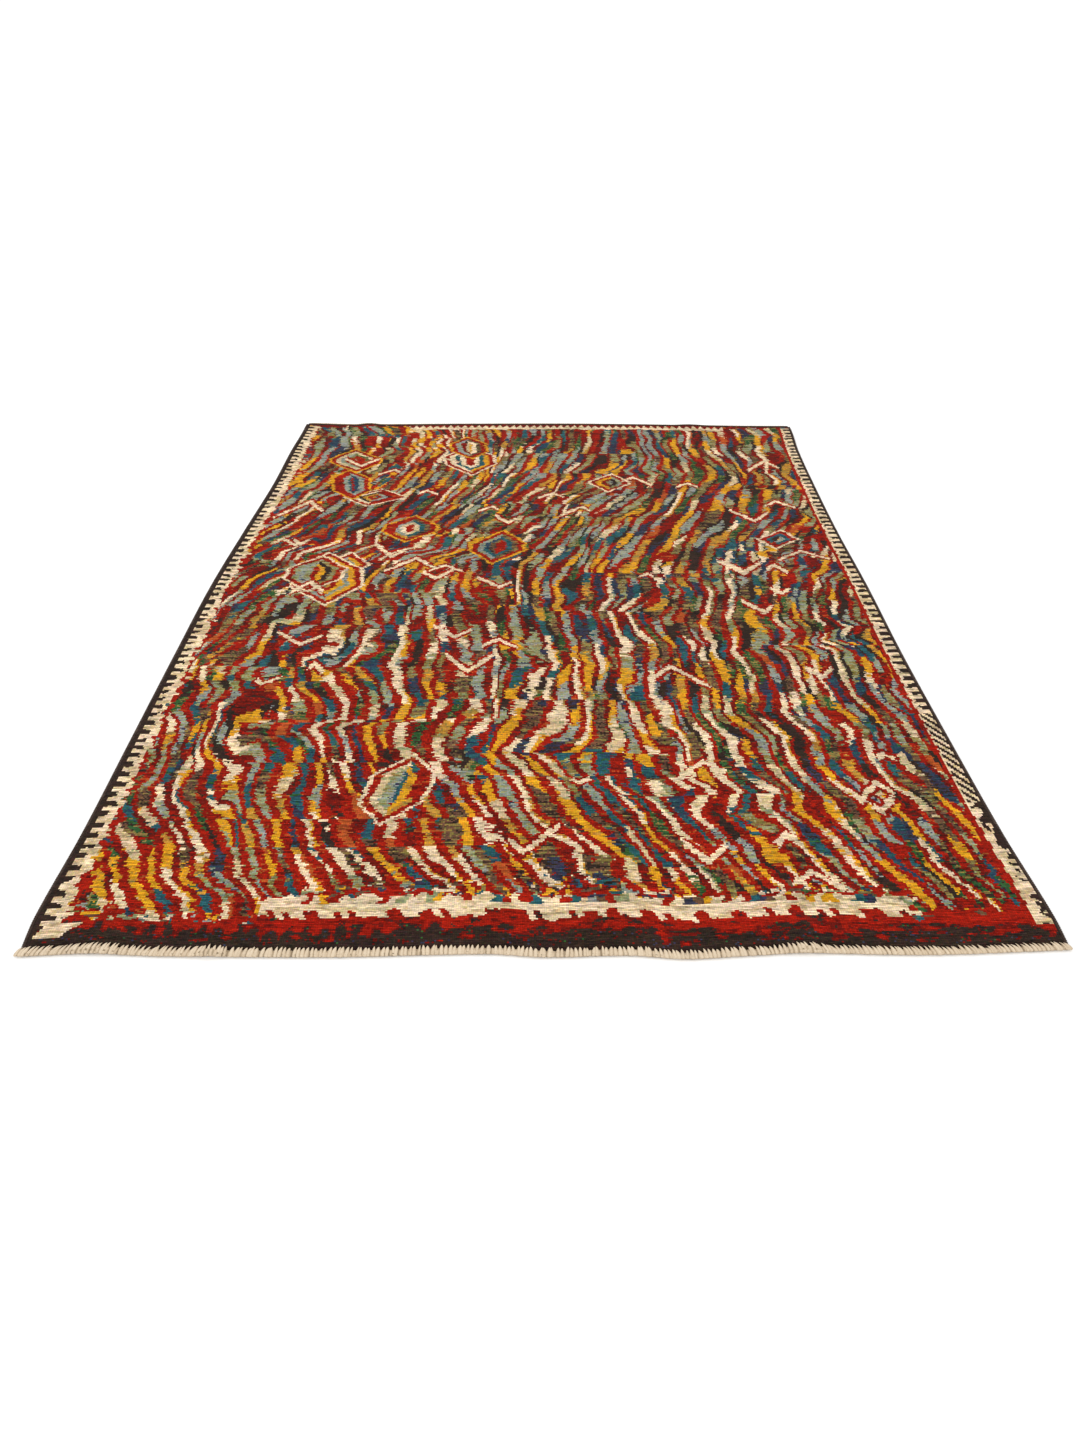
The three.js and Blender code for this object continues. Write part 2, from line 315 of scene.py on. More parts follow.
# what is mixed into each yarn, above and below a limit of the run noise
mixture = Choices(
    run=(3.0, 0.4), single=0.5,
    yarns=dict(
        cream=("ecru", 1.1, "ecru", 2.2), ecru=("sage", 1.2, "cream", 1.2),
        yellow=("ochre", 1.0, "ochre", 2.0), ochre=("olive", 0.9, "yellow", 1.2),
        red=("darkRed", 1.0, "rust", 1.6), darkRed=("red", 1.0, "darkBrown", 1.1),
        teal=("petrol", 0.9, "green", 1.4), petrol=("slate", 0.8, "teal", 1.0),
        slate=("darkBrown", 0.8, "petrol", 1.0), mist=("sage", 0.7, "slate", 1.5),
        sage=("olive", 0.7, "mist", 1.0), olive=("heather", 0.8, "sage", 0.9),
        green=("darkBrown", 0.9, "olive", 0.8), heather=("darkBrown", 0.7, "olive", 0.8),
    ),
)


def between(pair, share):
    # the first value plus the share of the way to the second
    return pair[0] + (pair[1] - pair[0]) * share


def fieldChart(shape, rng):
    # bands run along the rug at (column + shifts) / period; the part past the whole number tells a
    # ground line from a band, and each run of one between two cuts along the rug draws its own yarn
    rows, columns = shape
    row, column = np.mgrid[0:rows, 0:columns].astype(float)
    share = row / rows
    fade = 1 - (1 - share) ** 2
    moved = startsAfresh(row, column, rng)
    jog = sum(wander(shape, field[name], rng) for name in ("rowJog", "slowJog"))
    across = column - columns / 2 + moved + jog + wander(shape, field.sway, rng)
    across += wander(shape, field.lean, rng) + folds(shape, field.fold, rng)
    band, phase = np.divmod(across / between(field.period, share) + field.bandOffset, 1)
    kind = np.zeros(shape, int)
    drift = wander(shape, field.groundDrift, np.random.default_rng(rug.seed + field.driftSeed))
    edges = []
    for order, pair in enumerate(field.stripes):
        width = between(pair, fade) + wander(shape, field.widthStray, rng)
        width += drift * (-1 if order == 1 else 1)
        edges.append(np.maximum(width, 0) + (edges[-1] if edges else 0))
        kind += phase >= edges[-1]
    line = (band * 4 + kind).astype(int)
    short, long = field.segment
    cut = row / short - row ** 2 * (1 / short - 1 / long) / (2 * rows)
    cut += field.cutSlant * (phase - 0.5) * np.sign(scattered(line, "slant") - 0.5)
    cut += wander(shape, field.cutStray, rng)
    cut = np.floor(cut + field.cutSpread * scattered(line, "cut") + moved / field.cutMoves).astype(int)
    label = line * labelStep.cut + cut
    depth = np.clip(fade + wander(shape, field.depthDrift, rng), 0, 1)
    ground = chosenYarn(label, depth, groundShares, "ground")
    bright = chosenYarn(label, depth, brightShares, "bright")
    deep = chosenYarn(label, depth, deepShares, "deep")
    chart = np.choose(kind, [ground, bright, ground, deep])
    cut = np.floor(row / field.creamRows + field.cutSpread * scattered(line, "creamCut")).astype(int)
    held = scattered(line * labelStep.cream + cut, "cream") < between(field.creamShare, fade)
    held &= (kind == 1) & (phase < edges[0] + field.creamLine * (edges[1] - edges[0]))
    chart[held] = yarnAt["cream"]
    addLozenges(chart, row, column + jog, depth, rng)
    addChevrons(chart, row, column + jog, rng)
    return mixedYarn(chart, rng)


def addLozenges(chart, row, column, depth, rng):
    # rings at equal steps of |across| + max(|along| - flat, 0) / steepness from the middle,
    # a light one outermost, and all of it skewed to one side
    for number in range(lozenges.count):
        half = rng.uniform(*lozenges.halfWidth)
        steep = rng.uniform(*lozenges.steepness)
        flat = rng.uniform(*lozenges.flat)
        skew = rng.uniform(-1, 1) * lozenges.skew
        middle = rng.uniform(*lozenges.within) * chart.shape
        along = row - middle[0]
        across = column - middle[1] - skew * along
        inwards = half - np.abs(across) - np.maximum(np.abs(along) - flat, 0) / steep
        order = np.floor((inwards - lozenges.outline) / lozenges.ring).astype(int)
        label = number * labelStep.lozenge + order * labelStep.ring + (across > 0)
        label = label + labelStep.lozenges
        rings = np.where(order % 2 == 0, yarnAt["red"], chosenYarn(label, depth, brightShares, "ring"))
        rings = np.where(order % 4 == 2, chosenYarn(label, depth, deepShares, "innerRing"), rings)
        outermost = "cream" if number % lozenges.yellowEvery else "yellow"
        rings = np.where(order < 0, yarnAt[outermost], rings)
        chart[inwards > 0] = rings[inwards > 0]


def addChevrons(chart, row, column, rng):
    # a light line where the distance from the middle column equals the height over the point
    for number in range(chevrons.count):
        half = rng.uniform(*chevrons.halfWidth)
        steep = rng.uniform(*chevrons.steepness) * rng.choice([-1, 1])
        point = rng.uniform(*chevrons.within) * chart.shape
        left, right = rng.uniform(*chevrons.lopsided, 2) * half
        sideways = column - point[1]
        height = (row - point[0]) / steep
        inside = (sideways > -left) & (sideways < right) & (height > -chevrons.ground)
        away = np.abs(np.abs(sideways) - height)
        paint(chart, inside & (away < chevrons.ground) & (chart != yarnAt["cream"]), "red")
        paint(chart, inside & (away < chevrons.outline), "cream")


def mixedYarn(chart, rng):
    # short runs of knots in a row take a neighbouring dye where a noise passes the limit
    run = smoothNoise(chart.shape, *mixture.run, rng)
    run = run + mixture.single * rng.standard_normal(chart.shape)
    run = run / run.std()
    plain = chart.copy()
    for yarn, (above, aboveLimit, below, belowLimit) in mixture.yarns.items():
        paint(chart, (plain == yarnAt[yarn]) & (run > aboveLimit), above)
        paint(chart, (plain == yarnAt[yarn]) & (run < -belowLimit), below)
    return chart


def paint(chart, where, yarn):
    # the knots where the condition holds take the yarn
    chart[where] = yarnAt[yarn]


# widths from the edge, lengths from the near end and pitches, in metres; each stray is times a noise
side = Choices(
    leftSpine=0.013, leftTooth=0.021, leftPitch=0.035, leftCream=0.052, leftFrom=0.055,
    rightSpine=0.005, rightTooth=0.025, rightPitch=0.035, rightCream=0.038, rightFrom=0.05,
    farFrom=0.04, rightLine=0.05, toothShare=(0.43, 0.57), streakedTo=0.06,
    blockPitch=0.042, blockReach=0.023, blocksTo=0.24, hooksTo=0.43, hookSize=(1.6, 2.4),
    hookLimit=0.35, strokesTo=0.79, strokePitch=0.034, strokeSlope=1.6, strokeShare=0.52,
    strokeReach=0.035,
    # the light foot at the near left corner: where its tip and heel begin and how they slope
    footFrom=0.022, footTip=0.007, footHeel=0.061, tipSlope=0.55, heelSlope=0.83,
    footPast=0.004, footSpineFrom=0.045,
    leftRough=0.16, rightRough=0.14, blockRough=0.12, creamStray=0.0055,
    creamSway=0.002, redEdge=(0.009, 0.008),
)
ends = Choices(
    bandFrom=0.43, bandTo=1.715, dashesFrom=0.5, dashesTo=1.735, dashStray=0.02,
    nearDark=0.026, nearMixed=0.056, nearTeeth=0.09, nearCream=0.118,
    nearBlocks=0.14, nearDashes=0.18, fieldFrom=0.067, specks=0.034,
    dash=(0.021, 0.011), dashAcross=(0.6, 2, 1.5), dashAlong=(0.35, 5, 2),
    blockPitch=0.019, blockStray=0.25, blockTopStray=0.004, blockFoot=0.006, blockShare=0.5,
    toothPitch=0.0145, toothDepth=0.01, toothSlant=0.5, toothSway=0.35, toothShare=0.64,
    rightRedTo=0.098, heatherFrom=0.08, heatherLimit=1.2,
    barPitch=0.034, barsTo=0.95, barFade=0.2, cornerRise=0.02, cornerWidth=0.11,
    rednessDepth=0.019, outerDark=0.01, outerRough=0.002,
    farDark=0.021, farRed=0.058, farTooth=0.033, farCream=0.072, farPitch=0.0285,
    farSway=0.12, farCornerRed=0.036, farCornerRough=0.012, farRedLimit=1.3,
    edgeStray=0.003, ecruLimit=0.45,
)
# reach of the border's noises across and along, in knots; the flecks are single knots
borderNoise = dict(
    ragged=(1.2, 1.2), knotty=(2.0, 1.1), streaky=(2.8, 0.8), fleck=None, slow=(30, 9),
)
# the near end's wool, each painted over the one before: yarn, least and most redness, from where
# along, the limit that a sum of noises has to pass, and the share of each noise
nearWool = [
    ("darkRed", -99, 0.9, 0, 0.1, dict(knotty=1)),
    ("darkRed", 0.9, 99, 0, 1.2, dict(knotty=1, streaky=-0.5)),
    ("darkBrown", 0.35, 99, 0, 2.0, dict(knotty=1, fleck=0.5)),
    ("darkRed", -99, 0.35, 0, -1, {}),
    ("darkBrown", -99, 0, 0, -1, {}),
    ("darkRed", -99, 0, 0.012, 1.9, dict(ragged=1, streaky=1)),
    ("green", -99, 0, 0, 2.3, dict(fleck=1, streaky=-0.3)),
    ("darkRed", -99, -0.2, 0, 1.9, dict(fleck=-1, knotty=-0.8)),
    ("slate", -99, 0, 0, 1.9, dict(fleck=1, streaky=0.5)),
]


def teeth(along, pitch, stray, draw):
    # a tooth where the part of along / pitch past the whole number is under the tooth's own share
    place = along / pitch + stray
    number = np.floor(place).astype(int) + 9
    return place % 1 < between(side.toothShare, scattered(number, draw))


def borderChart(chart, rng):
    # each knot's place from the four edges, and the noises; then the two ends and the two sides
    shape = chart.shape
    at = SimpleNamespace()
    at.across = (np.arange(shape[1])[None, :] + 0.5) / shape[1] * rug.width + np.zeros(shape)
    at.along = (np.arange(shape[0])[:, None] + 0.5) / shape[0] * rug.length + np.zeros(shape)
    at.fromRight = rug.width - at.across
    at.fromFar = rug.length - at.along
    for name, size in borderNoise.items():
        setattr(at, name, smoothNoise(shape, *size, rng) if size else rng.standard_normal(shape))
    at.inBand = (at.across > ends.bandFrom) & (at.across < ends.bandTo)
    dashesAndSpecks(chart, at, rng)
    farEnd(chart, at)
    nearEnd(chart, at)
    nearWoolMixed(chart, at)
    leftEdge(chart, at)
    rightEdge(chart, at, rng)
    # the border's cream is streaked with a yellower one
    border = (at.along < ends.nearBlocks) | (at.fromFar < ends.farCream)
    border |= np.minimum(at.across, at.fromRight) < side.streakedTo
    streaked = at.streaky + 0.4 * at.ragged > ends.ecruLimit
    paint(chart, border & (chart == yarnAt["cream"]) & streaked, "ecru")
    return chart


def dashesAndSpecks(chart, at, rng):
    # little dashes above the near band and specks beside it: one yarn for each cell of a strayed grid
    stray = ends.dashStray * at.ragged
    above = (at.across > ends.dashesFrom + stray) & (at.across < ends.dashesTo + stray)
    columns = np.floor(at.across / ends.dash[0] + wander(chart.shape, ends.dashAcross, rng)).astype(int)
    rows = np.floor(at.along / ends.dash[1] + wander(chart.shape, ends.dashAlong, rng)).astype(int)
    dashes = chosenYarn(columns * labelStep.cut + rows, 0.0 * at.across, dashShares, "dash")
    dashTop = between((ends.nearBlocks, ends.nearDashes), 0.6 + 0.35 * at.slow + 0.25 * at.ragged)
    speckTop = ends.fieldFrom + ends.specks * (0.6 + 0.5 * at.slow + 0.35 * at.ragged)
    where = at.along < np.where(above, dashTop, speckTop)
    chart[where] = dashes[where]


def farEnd(chart, at):
    # cream band, pointed teeth as high as |2 * part - 1| of their pitch, dark red and the dark line
    tooth = np.abs(2 * ((at.across / ends.farPitch + ends.farSway * at.slow) % 1) - 1)
    top = ends.farRed - ends.farTooth * tooth * (1 + 0.12 * at.ragged)
    paint(chart, (at.fromFar < ends.farCream + ends.edgeStray * at.knotty) & at.inBand, "cream")
    paint(chart, (at.fromFar < top) & at.inBand, "darkRed")
    beside = at.fromFar < ends.farCornerRed + ends.farCornerRough * at.ragged
    paint(chart, ~at.inBand & beside, "darkRed")
    streaked = (at.fromFar < ends.farRed) & (at.streaky > ends.farRedLimit)
    paint(chart, streaked & (chart == yarnAt["darkRed"]), "red")
    paint(chart, at.fromFar < ends.farDark + ends.edgeStray * at.ragged, "darkBrown")


def nearEnd(chart, at):
    # from the field outwards: blocks, cream band with ragged teeth, and red
    number = np.floor(at.across / ends.blockPitch + ends.blockStray * at.knotty).astype(int)
    blockYarn = chosenYarn(number, 0.0 * at.across, dashShares, "blockYarn")
    inBand = at.inBand & (at.along < ends.nearBlocks + ends.blockTopStray * at.ragged)
    paint(chart, inBand, "cream")
    where = inBand & (at.along > ends.nearCream + ends.blockFoot * scattered(number, "blockFoot"))
    where &= scattered(number + 3, "block") < ends.blockShare
    chart[where] = blockYarn[where]
    slanted = at.across + ends.toothSlant * (at.along - ends.nearTeeth)
    number = np.floor(slanted / ends.toothPitch + ends.toothSway * at.slow).astype(int)
    deep = scattered(number + 7, "endTooth")
    deep = np.where(deep < ends.toothShare, -1.0, 0.2 + deep)
    stray = ends.edgeStray * at.ragged
    inTeeth = ends.nearTeeth + ends.toothDepth * deep + stray
    at.redTop = np.where(at.inBand, inTeeth, ends.fieldFrom + stray)
    rightRed = (at.across > ends.dashesTo) & (at.along < ends.rightRedTo + 2 * stray)
    paint(chart, (at.along < at.redTop) | rightRed, "red")
    heathery = (at.along > ends.heatherFrom) & (at.streaky > ends.heatherLimit)
    paint(chart, rightRed & heathery, "heather")


def nearWoolMixed(chart, at):
    # how red a knot is: its height over the middle of the mixed wool, streaks and, on the left, bars
    bar = np.sin(2 * np.pi * (at.across / ends.barPitch + 0.2 * at.slow))
    bar *= np.clip((ends.barsTo - at.across) / ends.barFade, 0, 1)
    corner = ends.cornerRise * np.exp(-(at.across / ends.cornerWidth) ** 2)
    middle = 0.5 * (ends.nearDark + ends.nearMixed)
    redness = (at.along - corner - middle) / ends.rednessDepth
    redness += 0.7 * at.streaky + 0.42 * at.ragged + 0.75 * bar + 0.15 * at.slow
    for yarn, least, most, start, limit, shares in nearWool:
        where = (at.along < at.redTop) & (redness > least) & (redness < most) & (at.along > start)
        total = sum(share * getattr(at, name) for name, share in shares.items())
        paint(chart, where & (total > limit), yarn)
    paint(chart, at.along < ends.outerDark + ends.outerRough * at.ragged, "darkBrown")


def leftEdge(chart, at):
    # spine, teeth and cream, with a flared foot at the near corner
    onSide = (at.along > side.leftFrom) & (at.fromFar > side.farFrom)
    creamEdge = side.leftCream + side.creamStray * at.ragged + side.creamSway * at.slow
    redEdge = creamEdge + side.redEdge[0] + side.redEdge[1] * at.knotty
    paint(chart, onSide & (at.across < redEdge) & (at.across > creamEdge), "red")
    paint(chart, onSide & (at.across < creamEdge), "cream")
    fromFoot = at.along - side.footFrom
    foot = (fromFoot > 0) & (at.along < side.leftFrom + side.footPast)
    foot &= at.across > side.footTip + side.tipSlope * fromFoot
    heel = side.footHeel + side.heelSlope * fromFoot
    foot &= at.across < heel + ends.edgeStray * at.ragged
    paint(chart, foot, "cream")
    tooth = teeth(at.along, side.leftPitch, 0.18 * at.slow + 0.05 * at.ragged, "leftTooth")
    reach = side.leftSpine + side.leftTooth * (1 + side.leftRough * at.ragged)
    paint(chart, onSide & tooth & (at.across < reach), "darkBrown")
    foot &= at.along < side.footSpineFrom
    paint(chart, (at.across < side.leftSpine) & ~foot, "darkBrown")


def rightEdge(chart, at, rng):
    # spine, teeth, cream and a red line; blocks, loose hooks and slanted strokes on its first stretches
    onSide = (at.along > side.rightFrom) & (at.fromFar > side.farFrom)
    paint(chart, onSide & (at.fromRight < side.rightLine + 0.002 * at.knotty), "red")
    paint(chart, onSide & (at.fromRight < side.rightCream + 0.0015 * at.ragged), "cream")
    straight = teeth(at.along, side.rightPitch, 0.16 * at.slow + 0.04 * at.ragged, "rightTooth")
    strokes = (at.along - side.strokeSlope * at.fromRight + 0.003 * at.slow) / side.strokePitch
    slanted = strokes % 1 < side.strokeShare
    loose = smoothNoise(chart.shape, *side.hookSize, rng) > side.hookLimit
    blocky = teeth(at.along, side.blockPitch, 0.3 * at.slow + 0.2 * at.ragged, "rightBlock")
    stretches = [at.along < side[name] for name in ("blocksTo", "hooksTo", "strokesTo")]
    tooth = np.select(stretches, [blocky, loose, slanted], straight)
    reach = side.rightSpine + side.rightTooth * (1 + side.rightRough * at.ragged)
    blockReach = side.blockReach * (1 + side.blockRough * at.ragged)
    reach = np.select(stretches, [blockReach, reach, side.strokeReach], reach)
    paint(chart, onSide & tooth & (at.fromRight < reach), "darkBrown")
    paint(chart, at.fromRight < side.rightSpine, "darkBrown")


rng = np.random.default_rng(rug.seed)
chart = fieldChart((rug.knotsAlong, rug.knotsAcross), rng)
chart = borderChart(chart, rng)
report("chart knotted")


def surface(name, points, groups, uvMaps=None):
    # one mesh from points, arrays of faces with the same number of corners in each, and UV maps by corner
    sizes = np.concatenate([np.full(len(faces), faces.shape[1]) for faces in groups])
    corners = np.concatenate([faces.ravel() for faces in groups])
    mesh = bpy.data.meshes.new(name)
    mesh.vertices.add(len(points))
    mesh.vertices.foreach_set("co", np.ascontiguousarray(points, np.float32).ravel())
    mesh.loops.add(len(corners))
    mesh.loops.foreach_set("vertex_index", corners.astype(np.int32))
    mesh.polygons.add(len(sizes))
    mesh.polygons.foreach_set("loop_start", (np.cumsum(sizes) - sizes).astype(np.int32))
    mesh.update(calc_edges=True)
    for uvName, places in (uvMaps or {}).items():
        layer = mesh.uv_layers.new(name=uvName)
        layer.data.foreach_set("uv", np.ascontiguousarray(places, np.float32).ravel())
    mesh.polygons.foreach_set("use_smooth", np.ones(len(sizes), bool))
    mesh.validate()
    return placed(name, mesh)


def gridQuads(rows, columns, start=0):
    # corners of each cell of a grid of points, anticlockwise from above
    row, column = np.mgrid[0:rows - 1, 0:columns - 1]
    first = start + row * columns + column
    return np.stack([first, first + 1, first + columns + 1, first + columns], -1).reshape(-1, 4)


def tubeQuads(rings, corners, start=0):
    # corners of each face round a tube of rings
    ring, corner = np.mgrid[0:rings - 1, 0:corners]
    here = start + ring * corners + corner
    beside = start + ring * corners + (corner + 1) % corners
    return np.stack([here, beside, beside + corners, here + corners], -1).reshape(-1, 4)


def store(piece, name, vectors, domain="POINT"):
    # three numbers for each point or face, which the material reads by name
    attribute = piece.data.attributes.new(name, "FLOAT_VECTOR", domain)
    attribute.data.foreach_set("vector", vectors.astype(np.float32).ravel())


def linear(hexColour):
    # display colour to light: ((c + 0.055) / 1.055) ** 2.4
    channels = np.array([int(hexColour[k:k + 2], 16) for k in (0, 2, 4)]) / 255
    light = np.where(channels > 0.04045, ((channels + 0.055) / 1.055) ** 2.4, channels / 12.92)
    return (*light.tolist(), 1.0)


class Nodes:
    # short way to write a material's nodes: inputs are sockets, numbers or tuples

    def __init__(self, name):
        self.material = bpy.data.materials.new(name)
        self.material.use_nodes = True
        self.tree = self.material.node_tree
        self.shader = self.tree.nodes["Principled BSDF"]

    def node(self, kind, **values):
        # with values for the inputs named
        node = self.tree.nodes.new("ShaderNode" + kind)
        for key, value in values.items():
            self.join(value, node.inputs[key])
        return node

    def add(self, kind, *values, output=0, **settings):
        # with values for its inputs in their order
        node = self.node(kind)
        for key, value in settings.items():
            setattr(node, key, value)
        for place, value in enumerate(values):
            self.join(value, node.inputs[place])
        return node.outputs[output]

    def join(self, value, socket):
        # a socket is linked and anything else set
        if isinstance(value, bpy.types.NodeSocket):
            self.tree.links.new(value, socket)
        else:
            socket.default_value = value

    def math(self, operation, *values):
        # one arithmetic node
        return self.add("Math", *values, operation=operation)

    def weighted(self, value, factor, rest):
        # value * factor + rest
        return self.math("MULTIPLY_ADD", value, factor, rest)

    def split(self, vector):
        # the three parts of a vector
        return self.node("SeparateXYZ", Vector=vector).outputs

    def noise(self, vector, scale, detail=2.0, roughness=0.5):
        # one number and one colour; three scales stretch the noise along the axes
        if isinstance(scale, tuple):
            vector = self.node("Mapping", Vector=vector, Scale=scale).outputs[0]
            scale = 1.0
        return self.node("TexNoise", Vector=vector, Scale=scale, Detail=detail, Roughness=roughness).outputs

    def mixed(self, blend, share, first, second):
        # two colours blended; a mix node's inputs 6 and 7 and its output 2 are its colours
        node = self.node("Mix")
        node.data_type = "RGBA"
        node.blend_type = blend
        for place, value in ((0, share), (6, first), (7, second)):
            self.join(value, node.inputs[place])
        return node.outputs[2]

    def ramp(self, share, stops, interpolation="LINEAR"):
        # colours at places from 0 to 1
        node = self.node("ValToRGB")
        elements = node.color_ramp.elements
        node.color_ramp.interpolation = interpolation
        while len(elements) < len(stops):
            elements.new(1.0)
        for order, (place, colour) in enumerate(stops):
            elements[order].position = place
            elements[order].color = linear(colour)
        self.join(share, node.inputs[0])
        return node.outputs[0]

    def bumped(self, height, strength, distance):
        # relief from a height, in metres
        bump = self.node("Bump", Strength=strength, Distance=distance, Height=height)
        self.join(bump.outputs[0], self.shader.inputs["Normal"])

    def finish(self, **values):
        # values of the shader; its names have spaces for the underscores
        for key, value in values.items():
            self.join(value, self.shader.inputs[key.replace("_", " ")])
        return self.material


pileFinish = Choices(
    knotsPerFace=3,
    strayScale=1.7,
    edgeStray=0.22,  # knots by which the fibres stray over a knot's edge
    knotTone=0.13,  # how far single knots differ in tone
    # how far runs of knots, whole rows and batches do: share, then the noise's scales and settings
    tones=(
        (0.62, (0.16, 1.15, 0.3), 2.0, 0.6),
        (0.4, (0.03, 0.4, 0.3), 3.0, 0.8),
        (0.2, (0.03, 0.08, 0.3), 4.0, 0.5),
    ),
    fibre=((2.6, 4.1, 3.0), 3.0, 0.65),
    fibreTone=(0.4, 0.92),
    hueStray=0.4,  # how far the dye differs between knots and batches
    fall=4.0,  # how sharply a tuft falls away to its neighbours
    rowGap=0.66,  # painted shade between two rows
    tuftGap=0.16,  # and painted shade between two tufts of a row
    rowDepth=0.5,  # share of the relief between two rows
    tuftDepth=0.35,  # and between two tufts of a row
    relief=0.0016,  # height of the tufts, metres
    roughness=0.95,
    sheen=0.015,
    shine=0.04,
)


def yarnColour(n, weave):
    # a face holds the yarns of three by three knots as digits to the base sixteen, and a point's own
    # is floor(number / 16 ** column) modulo 16
    count, inset, base = pileFinish.knotsPerFace, 0.001, float(len(yarns))
    place = n.split(weave)
    stray = n.split(n.noise(weave, pileFinish.strayScale)[1])
    inBlock = []
    for axis in (0, 1):
        start = n.math("MULTIPLY", n.math("FLOOR", n.math("DIVIDE", place[axis], count)), count)
        within = n.math("SUBTRACT", place[axis], start)
        moved = n.weighted(n.math("SUBTRACT", stray[axis], 0.5), 2 * pileFinish.edgeStray, within)
        held = n.math("MINIMUM", n.math("MAXIMUM", moved, inset), count - inset)
        inBlock.append(n.math("FLOOR", held))
    rows = n.split(n.add("Attribute", attribute_name="knotYarns", output=1))
    number = n.math("MULTIPLY", rows[0], n.math("LESS_THAN", inBlock[1], 0.5))
    number = n.weighted(rows[1], n.math("COMPARE", inBlock[1], 1.0, 0.5), number)
    number = n.weighted(rows[2], n.math("GREATER_THAN", inBlock[1], 1.5), number)
    digit = n.math("DIVIDE", n.math("ADD", number, 0.5), n.math("POWER", base, inBlock[0]))
    digit = n.math("MODULO", n.math("FLOOR", digit), base)
    share = n.math("DIVIDE", n.math("ADD", digit, 0.5), base)
    stops = [(order / base, colour) for order, colour in enumerate(yarns.values())]
    return n.ramp(share, stops, "CONSTANT")


def pileMaterial():
    # tone: 1 + the sum of (noise - 0.5) times four shares, for runs, rows and batches; single knots
    # get twice theirs. Each row and each tuft falls away to its neighbours as |2 * part - 1| ** fall,
    # in the relief and in painted shade that darkens the colour between rows and between tufts
    n = Nodes("knottedWool")
    finish = pileFinish
    weave = n.add("Attribute", attribute_name="weave", output=1)
    yarn = yarnColour(n, weave)
    cell = n.add("VectorMath", weave, operation="FLOOR")
    fibre = n.noise(weave, *finish.fibre)[0]
    knotTone = n.add("TexWhiteNoise", cell)
    tone = n.weighted(n.math("SUBTRACT", knotTone, 0.5), 2 * finish.knotTone, 1.0)
    for depth, *noise in finish.tones:
        batch = n.noise(weave, *noise)
        tone = n.weighted(n.math("SUBTRACT", batch[0], 0.5), 4 * depth, tone)
    hue = n.mixed("MIX", 0.5, batch[1], n.add("TexWhiteNoise", cell, output=1))
    dyed = n.mixed("MIX", finish.hueStray, yarn, n.mixed("SOFT_LIGHT", 1.0, yarn, hue))
    part = n.split(n.add("VectorMath", weave, operation="FRACTION"))
    falls = []
    for axis in (0, 1):
        fromMiddle = n.math("ABSOLUTE", n.weighted(part[axis], 2.0, -1.0))
        falls.append(n.math("POWER", fromMiddle, finish.fall))
    # painted shade: the colour darkens between two rows and between two tufts of a row, where the pile's
    # recesses would be shaded
    shade = n.weighted(falls[1], -finish.rowGap, 1.0)
    shade = n.weighted(falls[0], -finish.tuftGap, shade)
    shade = n.math("MULTIPLY", shade, n.weighted(fibre, *finish.fibreTone))
    whole = n.math("MULTIPLY", tone, shade)
    tinted = n.mixed("MULTIPLY", 1.0, dyed, n.add("CombineXYZ", whole, whole, whole))
    height = n.weighted(falls[0], -finish.tuftDepth, n.weighted(falls[1], -finish.rowDepth, fibre))
    n.bumped(height, 1.0, finish.relief)
    return n.finish(Base_Color=tinted, Roughness=finish.roughness, Sheen_Weight=finish.sheen,
                    Sheen_Roughness=0.5, Specular_IOR_Level=finish.shine)


def woolShades(n, wool, share):
    # from the dark through the plain to the light colour along the share
    stops = ((0.0, wool.darkColour), (wool.plainAt, wool.colour), (1.0, wool.lightColour))
    return n.finish(Base_Color=n.ramp(share, stops), Roughness=wool.roughness, Sheen_Weight=0.02,
                    Sheen_Roughness=0.5, Specular_IOR_Level=0.05)


pile = Choices(
    thickness=0.012, rimHeight=0.005, rimSlope=0.007, footInset=0.0012, unevenness=0.0007,
    rimKnots=(0.0, 0.35, 0.9, 1.7), waves=((0.14, 0.31), (-0.43, 0.095)),
    underWeave=50,  # the weave of the underside starts this many knots deeper
    # the bake map: places and scales of the pile and of the underside, and the edge as four strips
    bakeFrom=(0.005, 0.005), bakeScale=0.33, underFrom=(0.675, 0.005), underScale=0.155,
    stripFrom=(0.7, 0.5), stripStep=0.02, stripLength=0.47, stripWidth=0.012,
)


def pilePoints(acrossShare, alongShare):
    # top: z = lift + rim + (full - rim) * sqrt(1 - (1 - d / slope) ** 2), with d the distance from the edge
    # underside: the floor, turned up a little at the edge
    x, y = floorPlace(acrossShare, alongShare)
    fromSide = np.minimum(acrossShare, 1 - acrossShare) * rug.width
    fromEnd = np.minimum(alongShare, 1 - alongShare) * rug.length
    edge = np.clip(np.minimum(fromSide, fromEnd) / pile.rimSlope, 0, 1)
    lift = liftAt(x, y)
    soft = sum(np.sin(x / a + y / b) for a, b in pile.waves) / len(pile.waves)
    full = pile.thickness + pile.unevenness * soft
    top = lift + pile.rimHeight + (full - pile.rimHeight) * np.sqrt(1 - (1 - edge) ** 2)
    under = lift + pile.footInset * (1 - edge) ** 2
    flat = (x + moveAcross, y + moveAlong)
    return np.concatenate([np.stack([*flat, z], -1).reshape(-1, 3) for z in (top, under)])


def pileBake(flat, above, below, wallCount):
    # the pile large, the back and the edge small beside it
    strip, part = np.divmod(np.arange(wallCount) / wallCount * 4, 1)
    fromLeft, fromBelow = pile.stripFrom
    corner = np.stack([fromLeft + pile.stripStep * strip, fromBelow + pile.stripLength * part], -1)
    onward = corner + (0, pile.stripLength * 4 / wallCount)
    width = (pile.stripWidth, 0)
    return np.concatenate([
        pile.bakeFrom + flat[above] * pile.bakeScale,
        pile.underFrom + flat[below] * pile.underScale,
        np.stack([corner, onward, onward + width, corner + width], 1),
    ])


